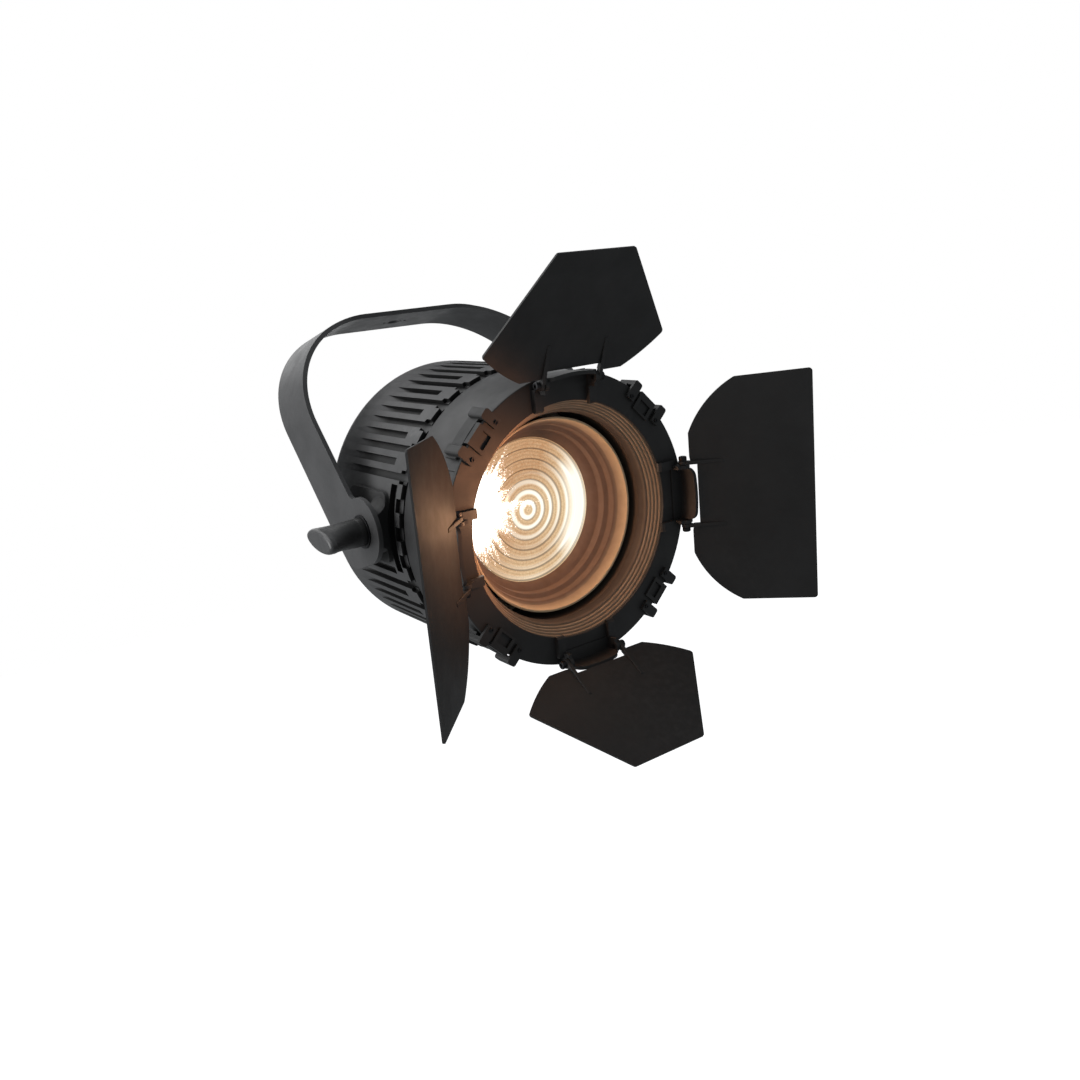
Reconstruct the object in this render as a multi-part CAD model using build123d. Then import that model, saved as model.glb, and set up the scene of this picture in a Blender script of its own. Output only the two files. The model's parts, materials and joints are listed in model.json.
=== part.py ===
from build123d import *
import os
from math import asin, atan2, cos, degrees, radians, sin, sqrt

# Fresnel spotlight with a swept yoke and a four-leaf barn door.  Millimetres.
#
# Row frame: origin at the hanging hole on the yoke's top face, +Z up, the beam leaves towards -Y.
# Head frame: origin on the beam axis, level with the arms' lower ends, X across, Y up, Z along the beam.
# Most of the head is turned about its Z axis, so its sizes are radii and stations along Z.

# ---------------------------------------------------------------- driving dimensions: yoke
YOKE_HALF_SPAN = 104.5      # centre of one arm's thickness to the middle of the lamp
YOKE_THICK = 3.0
YOKE_WIDTH = 47.0           # strap width along Y on the top bar
YOKE_BEND_R = 72.0          # outside radius of the two top corners
YOKE_DROP = 146.0           # yoke top face down to the middle of the arms' lower ends
YOKE_SWEEP = 77.0           # how far the top bar sits behind the arms' lower ends
TILT_Y = 6.0                # tilt axis above the beam axis
TILT_Z = 18.0               # tilt axis in front of the arms' centre line
HANGING_HOLE_R = 5.25
LOCATING_HOLE_R = 1.2
LOCATING_HOLE_PITCH = 17.0
FOOT_FILLET = 6.0
STUD_R = 5.0
STUD_CLEARANCE = 0.08
STUD_LENGTH = 34.0
STUD_IN_HANDLE = 14.0       # how far the stud reaches out past the arm, into the handle
HANDLE_HUB_R = 8.8
HANDLE_WING_HALF = 17.5
HANDLE_END_HALF = 7.0       # half thickness of the wing at its outer face
HANDLE_DIP = 18.0           # the wing's front end points this far below level at rest
HEAD_PITCH = 13.5           # the beam points this far below level

# ---------------------------------------------------------------- driving dimensions: head
RING_FACE_Z = 90.0          # front face of the barn-door ring
RING_OUTER_R = 90.0
RING_APERTURE_R = 72.7
RING_THICK = 2.0
RING_GAP = 0.3              # running gap between ring, bezel and clips
BARREL_FRONT_R = 88.3
BARREL_REAR_R = 91.5
BARREL_REAR_Z = 43.6
BARREL_WALL = 2.5
BARREL_SEAM = 0.3           # open line between the two barrel shells
SEAM_ANGLE = 30.0           # seam above the horizontal, both sides
BEZEL_DEPTH = 13.3
BEZEL_INNER_R = 64.8
BEZEL_BAND_R = 67.8         # outer edge of the smooth band inside the steps
BEZEL_BAND_DEPTH = 4.3
BEZEL_STEPS = 4
HOUSING_R = 93.3
HOUSING_FRONT_Z = 41.0
HOUSING_BORE_R = 87.5
SHOULDER_Z = -50.0          # rear end of the straight wall
SHOULDER_R = 10.0
REAR_OPENING_R = 76.0
COVER_R = 80.0
COVER_THICK = 3.0
COVER_SCREW_R = 77.9
COVER_SCREW_ANGLES = (0, 60, 120, 180, 240, 300)
VENT_ROWS = 6
VENT_PITCH = 8.5
PANEL_Y = -22.0             # height of the inlet, dimmer and switch on the back plate
INLET_X = -34.0
SWITCH_X = 34.0
SWITCH_TILT = 7.0           # the rocker rests this far over, on its off side
TRUNNION_R = 1.3
SLOT_PAIRS = 34             # one closed and one open slot in each pair
SLOT_WIDTH = 4.5
SLOT_DEPTH = 3.4
SLOT_RAMP_Z = -14.0         # the floor starts to rise here
SLOT_REAR_Z = -38.0         # and meets the wall here
CLOSED_SLOT_FRONT_Z = 25.0
SADDLE_HALF_ANGLE = 16.0    # smooth stretch without slots, either side of each pivot
NOTCH_WIDTH = 8.4
NOTCH_LENGTH = 5.0
NOTCH_DEPTH = 2.6
GROOVE_REAR_Z = 27.5        # groove across the smooth stretch, behind the castellated edge
GROOVE_FRONT_Z = 35.0
GROOVE_HALF = 27.0

# ---------------------------------------------------------------- driving dimensions: optics
LENS_R = 49.0
LENS_SEAT_R = 46.9
LENS_BACK_Z = 38.0
LENS_EDGE_THICK = 4.0
LENS_GROOVES = 6
LENS_GROOVE_DEPTH = 1.3
LENS_CENTRE_R = 6.5         # edge of the domed centre
DOME_RISE = 1.5
CONE_MOUTH_R = 60.2
CONE_MOUTH_Z = 69.0
CONE_WALL = 1.5
ROD_PITCH_R = 74.0
ROD_R = 3.0
ROD_ANGLES = (30, 150)
SCREW_PITCH_R = 68.0
SCREW_R = 4.0
LED_PLATE_Z = -16.0
FRAME_Z = 46.0              # rear face of the fixed ring that carries the rods

# ---------------------------------------------------------------- driving dimensions: barn door
HINGE_R = 85.0              # hinge axis to the beam axis
HINGE_Z = RING_FACE_Z + 7.2
PIN_R = 1.5
PIN_CLEARANCE = 0.06
TAB_HALF = 17.0
TAB_HEIGHT = 13.8           # low enough for the leaf's notch to swing over it
EAR_THICK = 2.2
ARM_THICK = 2.4
ARM_LENGTH = 25.6
LEAF_THICK = 1.2
LEAF_ANGLES = {"right": 42.0, "top": 26.0, "left": 46.0, "bottom": 57.5}
LEAF_TURN = {"right": 0.0, "top": 90.0, "left": 180.0, "bottom": 270.0}
CLIP_ANGLES = (45.0, 135.0, 225.0, 315.0)
CLIP_PROUD = 2.4            # how far the jaws stand in front of the ring
CLIP_OUTER_R = 94.4

ARM_SLOPE = degrees(asin(YOKE_SWEEP / sqrt(YOKE_SWEEP**2 + YOKE_DROP**2)))
HEAD = Pos(0, -YOKE_SWEEP, -YOKE_DROP) * Rot(90 + HEAD_PITCH, 0, 0)
# The tilt axis on the arms, square to the row frame.
PIVOT_Y = -YOKE_SWEEP - TILT_Y * sin(radians(HEAD_PITCH)) - TILT_Z * cos(radians(HEAD_PITCH))
PIVOT_Z = -YOKE_DROP + TILT_Y * cos(radians(HEAD_PITCH)) - TILT_Z * sin(radians(HEAD_PITCH))
PIVOT = Pos(0, PIVOT_Y, PIVOT_Z)
STRAP_OUTER_X = YOKE_HALF_SPAN + YOKE_THICK / 2
STRAP_INNER_X = YOKE_HALF_SPAN - YOKE_THICK / 2
REAR_Z = SHOULDER_Z - SHOULDER_R
COVER_Z = REAR_Z - COVER_THICK          # outside face of the back plate
SWITCH_AXIS_Z = COVER_Z + 2.2
BOSS_FACE_X = STRAP_INNER_X - 1.5


# ---------------------------------------------------------------- small helpers
def turned(*points):
    """Solid of revolution about Z of an outline given as (radius, z) points."""
    return revolve(Plane.XZ * make_face(Polyline(*points, close=True)), Axis.Z)


def sleeve(outer_r, inner_r, z0, z1):
    return turned((inner_r, z0), (outer_r, z0), (outer_r, z1), (inner_r, z1))


def rod(radius, z0, z1, x=0.0, y=0.0):
    """Cylinder parallel to Z between two stations."""
    return Pos(x, y, (z0 + z1) / 2) * Cylinder(radius, z1 - z0)


def block(x0, x1, y0, y1, z0, z1):
    return Pos((x0 + x1) / 2, (y0 + y1) / 2, (z0 + z1) / 2) * Box(x1 - x0, y1 - y0, z1 - z0)


def polar(radius, angle):
    return radius * cos(radians(angle)), radius * sin(radians(angle))


def across(solid_on_z, x):
    """Turn a solid made along Z so that it lies along X, with its z = 0 at x."""
    return Pos(x, 0, 0) * Rot(0, 90, 0) * solid_on_z


def screw_head(radius, height, socket_r):
    """Round head standing on z = 0 with a hexagon socket in its top."""
    head = Cylinder(radius, height, align=(Align.CENTER, Align.CENTER, Align.MIN))
    head = fillet(head.edges().sort_by(Axis.Z)[-1], height * 0.3)
    socket = Pos(0, 0, height * 0.45) * extrude(RegularPolygon(socket_r, 6), height)
    return head - socket


def group(solids):
    return Compound(children=[s for part in solids for s in part.solids()])


# ---------------------------------------------------------------- yoke
def yoke():
    half = STRAP_OUTER_X
    deep = YOKE_DROP + 60
    outer = Pos(0, -deep) * RectangleRounded(2 * half, 2 * deep, YOKE_BEND_R)
    inner_r = YOKE_BEND_R - YOKE_THICK
    hollow = RectangleRounded(2 * (half - YOKE_THICK), 2 * (deep - YOKE_THICK), inner_r)
    band = extrude(Plane.XZ * (outer - Pos(0, -deep) * hollow), YOKE_SWEEP * 2, both=True)

    w = YOKE_WIDTH / 2
    end_r = w * cos(radians(ARM_SLOPE))
    dy, dz = end_r * cos(radians(ARM_SLOPE)), end_r * sin(radians(ARM_SLOPE))
    top_z = -YOKE_THICK
    lean = (YOKE_SWEEP / YOKE_DROP) * YOKE_THICK
    side = make_face(Polyline(
        (-YOKE_SWEEP - dy, -YOKE_DROP + dz), (-w - lean, top_z), (-w - lean, 1),
        (w - lean, 1), (w - lean, top_z), (-YOKE_SWEEP + dy, -YOKE_DROP - dz), close=True))
    # Round foot of the arm: it reaches forward from the strap's end to the tilt axis.
    foot_y, foot_z = PIVOT_Y + YOKE_SWEEP, PIVOT_Z + YOKE_DROP
    foot = SlotCenterToCenter(sqrt(foot_y**2 + foot_z**2), 2 * end_r)
    middle = Pos(-YOKE_SWEEP + foot_y / 2, -YOKE_DROP + foot_z / 2)
    side += middle * Rot(0, 0, degrees(atan2(foot_z, foot_y))) * foot
    crook = side.vertices().filter_by(lambda v: v.Y > PIVOT_Z and v.X < -YOKE_SWEEP).sort_by(Axis.X)[-1]
    side = fillet(crook, FOOT_FILLET)
    strap = band & extrude(Plane.YZ * side, half * 2, both=True)

    strap -= rod(HANGING_HOLE_R, -10, 10)
    for s in (-1, 1):
        strap -= rod(LOCATING_HOLE_R, -10, 10, x=s * LOCATING_HOLE_PITCH / 2)
        strap -= PIVOT * across(rod(STUD_R + STUD_CLEARANCE, -8, 8), s * YOKE_HALF_SPAN)
    return strap


def tilt_stud():
    """Steel stud from the handle through the left arm into the head's threaded boss."""
    return PIVOT * across(chamfer_ends(rod(STUD_R, 0, STUD_LENGTH)), -STRAP_OUTER_X - STUD_IN_HANDLE)


def chamfer_ends(solid, size=0.6):
    ends = solid.edges().filter_by(GeomType.CIRCLE)
    return chamfer(ends, size)


def tilt_handle():
    """Moulded lever: a thick round hub that widens smoothly into an oval wing at its outer end."""
    stations = ((3, HANDLE_HUB_R, HANDLE_HUB_R), (10, HANDLE_HUB_R + 0.6, HANDLE_HUB_R - 0.4),
                (18, HANDLE_WING_HALF - 4.5, HANDLE_END_HALF + 0.6), (23.5, HANDLE_WING_HALF, HANDLE_END_HALF))
    body = loft([Pos(0, 0, z) * Ellipse(long_r, short_r) for z, long_r, short_r in stations])
    cap = extrude(Pos(0, 0, stations[-1][0]) * Ellipse(HANDLE_WING_HALF, HANDLE_END_HALF), 4.5)
    cap = fillet(cap.edges().sort_by(Axis.Z)[-1], 2.4)
    handle = rod(HANDLE_HUB_R, 0, 3.01) + body + cap
    handle -= rod(STUD_R + 0.02, -1, STUD_IN_HANDLE - 1.2)
    # Along -X from the arm, its wing pointing forward and down.
    return PIVOT * Pos(-STRAP_OUTER_X - 1.2, 0, 0) * Rot(0, -90, 0) * Rot(0, 0, 90 - HANDLE_DIP) * handle


def tilt_washer():
    return PIVOT * across(sleeve(10.5, STUD_R + 0.3, 0.05, 1.1), -STRAP_OUTER_X - 1.15)


def pivot_bolt():
    """Socket-head bolt fixed in the right arm, its shank running in the head's boss."""
    bolt = rod(STUD_R, STUD_IN_HANDLE - STUD_LENGTH, 0.01) + screw_head(8.0, 7.0, 4.2)
    return PIVOT * across(bolt, STRAP_OUTER_X + 1.1)


def pivot_washer():
    return PIVOT * across(sleeve(10.5, STUD_R + 0.05, 0, 1.1), STRAP_OUTER_X)


def friction_disc(side):
    """Fibre disc on the inner face of one arm, against the head's boss."""
    disc = sleeve(17.0, STUD_R + 0.3, 0, 1.4)
    if side < 0:
        return PIVOT * across(disc, -STRAP_INNER_X)
    return PIVOT * across(disc, STRAP_INNER_X - 1.4)


# ---------------------------------------------------------------- head casing
def pivot_bore(side):
    """Cutter in the head frame for the stud or bolt on one side."""
    return Pos(0, TILT_Y, TILT_Z) * across(rod(STUD_R + STUD_CLEARANCE, -20, 20), side * HOUSING_R)


def pivot_bracket(side):
    """Flared boss on a curved saddle, bolted to one side of the rear housing."""
    waist, flare, reach = 13.5, 19.0, 22.0
    profile = make_face(
        [Line((STUD_R + STUD_CLEARANCE, 86), (flare, 86)), Line((flare, 86), (flare, 92.6)),
         ThreePointArc((flare, 92.6), (15.0, 95.8), (waist, BOSS_FACE_X - 1)),
         Line((waist, BOSS_FACE_X - 1), (waist - 1, BOSS_FACE_X)),
         Line((waist - 1, BOSS_FACE_X), (STUD_R + STUD_CLEARANCE, BOSS_FACE_X)),
         Line((STUD_R + STUD_CLEARANCE, BOSS_FACE_X), (STUD_R + STUD_CLEARANCE, 86))])
    boss = Pos(0, TILT_Y, TILT_Z) * Rot(0, 90 * side, 0) * revolve(Plane.XZ * profile, Axis.Z)
    saddle = sleeve(HOUSING_R + 2.4, HOUSING_R, -22, GROOVE_REAR_Z - 0.5)
    saddle &= block(*sorted((0, side * 120)), TILT_Y - reach, TILT_Y + reach, -40, 40)
    saddle = fillet(saddle.edges().filter_by(lambda e: abs(e.length - 2.4) < 0.4), 6)
    boss &= block(-120, 120, -60, 60, -40, GROOVE_REAR_Z - 0.5)
    bracket = boss + saddle - rod(HOUSING_R, -60, 60) - pivot_bore(side)
    return HEAD * bracket


def off_pivots(angle):
    """How far an angle round the beam is from the nearer pivot."""
    lift = degrees(asin(TILT_Y / HOUSING_R))
    return min(abs((angle - pivot + 180) % 360 - 180) for pivot in (lift, 180 - lift))


def rear_housing():
    """Cast cup with closed and open cooling slots, a castellated front edge and a round shoulder."""
    outline = make_face(
        [Line((HOUSING_BORE_R, HOUSING_FRONT_Z), (HOUSING_R, HOUSING_FRONT_Z)),
         Line((HOUSING_R, HOUSING_FRONT_Z), (HOUSING_R, SHOULDER_Z)),
         RadiusArc((HOUSING_R, SHOULDER_Z), (HOUSING_R - SHOULDER_R, REAR_Z), SHOULDER_R),
         Line((HOUSING_R - SHOULDER_R, REAR_Z), (REAR_OPENING_R, REAR_Z)),
         Line((REAR_OPENING_R, REAR_Z), (REAR_OPENING_R, REAR_Z + 3)),
         Line((REAR_OPENING_R, REAR_Z + 3), (HOUSING_BORE_R - 6, REAR_Z + 3)),
         Line((HOUSING_BORE_R - 6, REAR_Z + 3), (HOUSING_BORE_R, REAR_Z + 9)),
         Line((HOUSING_BORE_R, REAR_Z + 9), (HOUSING_BORE_R, HOUSING_FRONT_Z))])
    cup = revolve(Plane.XZ * outline, Axis.Z)
    cutters = []
    floor_r, top_r = HOUSING_R - SLOT_DEPTH, HOUSING_R + 1
    for i in range(2 * SLOT_PAIRS):
        angle = (i + 0.5) * 180 / SLOT_PAIRS
        closed = i % 2 == 0
        if off_pivots(angle) > SADDLE_HALF_ANGLE:
            front = CLOSED_SLOT_FRONT_Z if closed else HOUSING_FRONT_Z + 5
            # The slot's floor rises to nothing at the rear.
            floor = Polyline((floor_r, front), (floor_r, SLOT_RAMP_Z), (top_r, SLOT_REAR_Z), (top_r, front),
                             close=True)
            slot = extrude(Plane.XZ * make_face(floor), SLOT_WIDTH / 2, both=True)
            cutters += (Rot(0, 0, angle) * slot).solids()
        if closed:
            # Notch that makes the castellated front edge.
            notch = block(HOUSING_R - NOTCH_DEPTH, HOUSING_R + 5, -NOTCH_WIDTH / 2, NOTCH_WIDTH / 2,
                          HOUSING_FRONT_Z - NOTCH_LENGTH, HOUSING_FRONT_Z + 5)
            cutters += (Rot(0, 0, angle + 180 / SLOT_PAIRS) * notch).solids()
    groove = sleeve(HOUSING_R + 5, floor_r, GROOVE_REAR_Z, GROOVE_FRONT_Z)
    for side in (-1, 1):
        beside = block(*sorted((0, side * 120)), TILT_Y - GROOVE_HALF, TILT_Y + GROOVE_HALF, -60, 60)
        cutters += (groove & beside).solids()
    return HEAD * (cup - cutters - pivot_bore(-1) - pivot_bore(1))


def barrel_solid(inset=0.0):
    """The barrel's outer form as a solid, straight at the rear and tapering to the front."""
    front_z = RING_FACE_Z - RING_THICK - RING_GAP - 1.6
    return turned((0, BARREL_REAR_Z), (BARREL_REAR_R - inset, BARREL_REAR_Z),
                  (BARREL_REAR_R - inset, BARREL_REAR_Z + 12), (BARREL_FRONT_R - inset, front_z),
                  (0, front_z))


def barrel_shell(upper):
    """Half of the smooth front barrel, split along a seam on each side."""
    shell = barrel_solid() - barrel_solid(BARREL_WALL)
    reach, cap_y = 120, 120
    x, y = polar(reach, SEAM_ANGLE)
    sector = Polyline((0, 0), (x, y), (x, cap_y), (-x, cap_y), (-x, y), close=True)
    sector = extrude(make_face(sector), 200, both=True)
    top = shell & (Pos(0, BARREL_SEAM, 0) * sector)
    return HEAD * (top if upper else shell - sector)


def collar_ring():
    """Dark spacer that shows in the gap between housing and barrel."""
    return HEAD * turned((84, 36), (HOUSING_BORE_R - 0.1, 36), (HOUSING_BORE_R - 0.1, 41.05),
                         (88.8, 41.05), (88.8, BARREL_REAR_Z - 0.02), (84, BARREL_REAR_Z - 0.02))


def front_bezel():
    """Front ring of the barrel: a smooth band round the lens tube's mouth, then steps out to the front."""
    front = RING_FACE_Z - RING_THICK - RING_GAP
    back = front - BEZEL_DEPTH
    band_z = back + BEZEL_BAND_DEPTH
    step_r = (RING_APERTURE_R + 0.8 - BEZEL_BAND_R) / BEZEL_STEPS
    step_z = (front - band_z) / BEZEL_STEPS
    points = [(BARREL_FRONT_R, front), (BARREL_FRONT_R, front - 1.5), (85.4, front - 1.5),
              (85.4, back + 4), (70.5, back), (BEZEL_INNER_R, back)]
    for i in range(BEZEL_STEPS):
        r = BEZEL_BAND_R + i * step_r
        z = band_z + (i + 1) * step_z
        points += [(r, z - 0.5), (r + 0.4, z), (r + step_r, z)]
    return HEAD * turned(*points)


def baffle_sleeve():
    """Thin tube behind the bezel that closes the gap round the moving lens tube."""
    back = RING_FACE_Z - RING_THICK - RING_GAP - BEZEL_DEPTH
    return HEAD * sleeve(67.0, 65.6, FRAME_Z + 3, back - 0.02)


def front_frame():
    """Fixed ring inside the barrel that holds the front ends of the rods and the focus screw."""
    ring = sleeve(BARREL_REAR_R - BARREL_WALL - 0.3, 65.0, FRAME_Z, FRAME_Z + 3)
    x, y = polar(SCREW_PITCH_R, -90)
    ring += rod(5.6, FRAME_Z, FRAME_Z + 3, x, y)
    ring -= rod(SCREW_R + 0.05, FRAME_Z - 5, FRAME_Z + 5, x, y)
    for angle in ROD_ANGLES:
        ring -= rod(ROD_R, FRAME_Z - 5, FRAME_Z + 5, *polar(ROD_PITCH_R, angle))
    return HEAD * ring


def rear_cover():
    """Back plate with cut-outs for inlet, switch, dimmer and focus shaft, and vent slots."""
    through = (REAR_Z - 9, REAR_Z + 9)
    cover = rod(COVER_R, COVER_Z, REAR_Z)
    cover = fillet(cover.edges().sort_by(Axis.Z)[0], 1.2)
    for x, width, height in ((INLET_X, 28.2, 20.2), (SWITCH_X, 20.2, 13.2)):
        cover -= block(x - width / 2, x + width / 2, PANEL_Y - height / 2, PANEL_Y + height / 2, *through)
    cover -= rod(3.6, *through, 0, PANEL_Y)
    cover -= rod(SCREW_R + 0.06, *through, 0, -SCREW_PITCH_R)
    for angle in COVER_SCREW_ANGLES:
        cover -= rod(1.7, *through, *polar(COVER_SCREW_R, angle))
    for row in range(VENT_ROWS):
        y = 14 + row * VENT_PITCH
        half = sqrt(62**2 - y**2)
        for x0, x1 in ((-half, -3), (3, half)):
            cover -= block(x0, x1, y - 1.6, y + 1.6, *through)
    return HEAD * cover


def cover_screws():
    screws = []
    for angle in COVER_SCREW_ANGLES:
        x, y = polar(COVER_SCREW_R, angle)
        head = Pos(x, y, COVER_Z) * Rot(180, 0, 0) * screw_head(2.1, 1.6, 1.0)
        screws.append(head + rod(1.6, COVER_Z - 0.01, REAR_Z - 0.3, x, y))
    return HEAD * group(screws)


# ---------------------------------------------------------------- light engine and electronics
def guide_rods():
    z0, z1 = LED_PLATE_Z + 6, FRAME_Z + 3
    rods = [rod(ROD_R - 0.02, z0, z1, *polar(ROD_PITCH_R, angle)) for angle in ROD_ANGLES]
    return HEAD * group(rods)


def heat_sink():
    """Finned aluminium plate behind the light source; the rods' rear ends stand on it."""
    plate = rod(84, LED_PLATE_Z, LED_PLATE_Z + 6)
    fins = []
    for i in range(-7, 7):
        x = 11.0 * (i + 0.5)
        half = sqrt(80**2 - x**2)
        fins.append(block(x - 1.1, x + 1.1, -half, half, LED_PLATE_Z - 24, LED_PLATE_Z))
    sink = plate + fins
    return HEAD * (sink - rod(SCREW_R + 1.2, -60, 0, 0, -SCREW_PITCH_R))


def led_board():
    z = LED_PLATE_Z + 6
    board = rod(24, z, z + 1.6)
    for angle in (45, 135, 225, 315):
        board -= rod(1.6, z - 1, z + 3, *polar(20, angle))
    return HEAD * board


def led_emitter():
    z = LED_PLATE_Z + 7.6
    return HEAD * (block(-9, 9, -9, 9, z, z + 0.9) + rod(7.0, z + 0.9, z + 1.6))


def led_reflector():
    """Short faceted collector cup over the light source."""
    z = LED_PLATE_Z + 7.6
    return HEAD * turned((14.5, z), (16.5, z), (24, z + 7), (28, z + 11), (26.6, z + 11),
                         (22.6, z + 7.6))


def driver_board():
    return HEAD * block(-46, 46, 16, 56, REAR_Z + 12, REAR_Z + 13.6)


def driver_parts():
    """The tall components on the driver board: transformer, two capacitors and a choke."""
    z = REAR_Z + 12
    parts = [block(-14, 12, 24, 48, z - 9, z), rod(6, z - 9, z, -30, 30), rod(6, z - 9, z, -30, 46),
             block(22, 36, 28, 44, z - 8, z)]
    return HEAD * group(parts)


def power_inlet():
    """Flanged mains inlet; the socket faces the rear and is 16 deep."""
    body = block(-14, 14, -10, 10, COVER_Z, REAR_Z + 15)
    body += block(-16.5, 16.5, -12.5, 12.5, COVER_Z - 2, COVER_Z)
    body -= block(-11.5, 11.5, -7.5, 7.5, COVER_Z - 5, REAR_Z + 11)
    return HEAD * Pos(INLET_X, PANEL_Y, 0) * body


def inlet_pins():
    z = REAR_Z + 11
    places = ((-6, 1.5), (0, -1.5), (6, 1.5))
    pins = [block(x - 1.1, x + 1.1, y - 2.2, y + 2.2, z - 12, z) for x, y in places]
    return HEAD * Pos(INLET_X, PANEL_Y, 0) * group(pins)


def switch_frame():
    body = block(-10, 10, -6.5, 6.5, COVER_Z, REAR_Z + 13)
    body += block(-12, 12, -8.5, 8.5, COVER_Z - 1.6, COVER_Z)
    body -= block(-8.6, 8.6, -5.2, 5.2, COVER_Z - 5, REAR_Z + 6)
    body -= Pos(0, 0, SWITCH_AXIS_Z) * Rot(90, 0, 0) * rod(TRUNNION_R + 0.06, -6.5, 6.5)
    return HEAD * Pos(SWITCH_X, PANEL_Y, 0) * body


def rocker():
    """Rocker cap with a hollow face, tilted to its off side."""
    cap = rod(TRUNNION_R, -6.2, 6.2) + extrude(make_face([
        Line((-7.4, -4.0), (-7.8, 3.0)), ThreePointArc((-7.8, 3.0), (0, 1.6), (7.8, 3.0)),
        Line((7.8, 3.0), (7.4, -4.0)), Line((7.4, -4.0), (-7.4, -4.0))]), 4.7, both=True)
    # Local X stays across the lamp, local Y becomes the way out of the panel.
    cap = Rot(0, SWITCH_TILT, 0) * Rot(-90, 0, 0) * cap
    return HEAD * Pos(SWITCH_X, PANEL_Y, SWITCH_AXIS_Z) * cap


def knob(radius, height, flutes):
    """Fluted knob that stands on z = 0 and points towards -Z."""
    body = turned((0, 0), (radius, 0), (radius, -1.5), (radius - 0.8, -2.5), (radius - 1.4, -height),
                  (0, -height))
    body = fillet(body.edges().sort_by(Axis.Z)[0], 1.2)
    flute = rod(1.3, -height - 1, -2.6, radius - 0.3, 0)
    cuts = [Rot(0, 0, 360 / flutes * i) * flute for i in range(flutes)]
    mark = block(-0.5, 0.5, radius * 0.35, radius, -height - 1, -height + 0.6)
    return body - cuts - mark


def dimmer_knob():
    body = knob(9.0, 13.0, 14) - rod(3.0, -8, 1)
    return HEAD * Pos(0, PANEL_Y, COVER_Z - 0.6) * body


def dimmer_shaft():
    return HEAD * rod(3.0, COVER_Z - 8.5, REAR_Z + 4, 0, PANEL_Y)


def dimmer_pot():
    body = rod(8.5, REAR_Z + 0.1, REAR_Z + 10, 0, PANEL_Y)
    return HEAD * (body - rod(3.05, REAR_Z - 1, REAR_Z + 4.2, 0, PANEL_Y))


# ---------------------------------------------------------------- focus drive and lens carriage
def focus_screw():
    shaft = chamfer_ends(rod(SCREW_R, COVER_Z - 12, FRAME_Z + 2.5))
    return HEAD * Pos(0, -SCREW_PITCH_R, 0) * shaft


def focus_knob():
    body = knob(11.0, 15.0, 18) - rod(SCREW_R + 0.02, -11.4, 1)
    return HEAD * Pos(0, -SCREW_PITCH_R, COVER_Z - 0.6) * body


def lens_tube():
    """Flared tube in front of the lens, its bore in soft steps out to the mouth."""
    seat_z = LENS_BACK_Z + LENS_EDGE_THICK
    steps = ((LENS_SEAT_R, seat_z), (49.6, 46.8), (52.2, 48.6), (52.8, 53.4), (55.6, 55.2),
             (56.2, 59.6), (58.4, 61.4), (CONE_MOUTH_R, CONE_MOUTH_Z))
    inner = list(steps)
    outer = [(r + CONE_WALL, z) for r, z in reversed(steps[1:])]
    tail = [(LENS_R + 2.2, 46.0), (LENS_R + 2.2, LENS_BACK_Z - 3), (LENS_R + 0.05, LENS_BACK_Z - 3),
            (LENS_R + 0.05, seat_z)]
    return HEAD * turned(*inner, *outer, *tail)


def fresnel_lens():
    """Flat-backed lens with a domed centre and concentric ridges."""
    back, rim = LENS_BACK_Z, LENS_BACK_Z + LENS_EDGE_THICK - 0.05
    base = LENS_BACK_Z + LENS_EDGE_THICK - LENS_GROOVE_DEPTH - 0.3
    top = base + LENS_GROOVE_DEPTH
    outer_r = LENS_SEAT_R - 0.5
    pitch = (outer_r - LENS_CENTRE_R) / LENS_GROOVES
    edges = [Line((0, back), (LENS_R, back)), Line((LENS_R, back), (LENS_R, rim)),
             Line((LENS_R, rim), (outer_r, top))]
    for i in range(LENS_GROOVES, 0, -1):
        r1, r0 = LENS_CENTRE_R + i * pitch, LENS_CENTRE_R + (i - 1) * pitch
        edges += [Line((r1, top), (r1, base)),
                  ThreePointArc((r1, base), ((r0 + r1) / 2, (base + top) / 2 + 0.18), (r0, top))]
    dome_r = (LENS_CENTRE_R**2 + DOME_RISE**2) / (2 * DOME_RISE)
    half_r = LENS_CENTRE_R / 2
    mid_z = base + DOME_RISE - dome_r + sqrt(dome_r**2 - half_r**2)
    edges += [Line((LENS_CENTRE_R, top), (LENS_CENTRE_R, base)),
              ThreePointArc((LENS_CENTRE_R, base), (half_r, mid_z), (0, base + DOME_RISE)),
              Line((0, base + DOME_RISE), (0, back))]
    return HEAD * revolve(Plane.XZ * make_face(edges), Axis.Z)


def lens_retainer():
    return HEAD * sleeve(LENS_R, LENS_R - 4.5, LENS_BACK_Z - 2.5, LENS_BACK_Z)


def carriage_plate():
    """Ring that carries the lens tube, with ears for the two guide rods and the focus nut."""
    z0, z1 = LENS_BACK_Z - 2.5, LENS_BACK_Z + 0.5
    ring = sleeve(60.0, LENS_R + 2.25, z0, z1)
    ears = [(angle, ROD_PITCH_R, 7.5) for angle in ROD_ANGLES] + [(270, SCREW_PITCH_R, 9.5)]
    for angle, pitch_r, boss in ears:
        ear = block(54, pitch_r, -boss, boss, z0, z1) + rod(boss, z0, z1, pitch_r, 0)
        ring += Rot(0, 0, angle) * ear
    for angle in ROD_ANGLES:
        ring -= rod(5.0, z0 - 1, z1 + 1, *polar(ROD_PITCH_R, angle))
    return HEAD * (ring - rod(6.5, z0 - 1, z1 + 1, *polar(SCREW_PITCH_R, 270)))


def carriage_bushes():
    z0, z1 = LENS_BACK_Z - 6, LENS_BACK_Z + 4
    bush = sleeve(5.0, ROD_R + 0.05, z0, z1)
    return HEAD * group([Pos(*polar(ROD_PITCH_R, angle), 0) * bush for angle in ROD_ANGLES])


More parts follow.
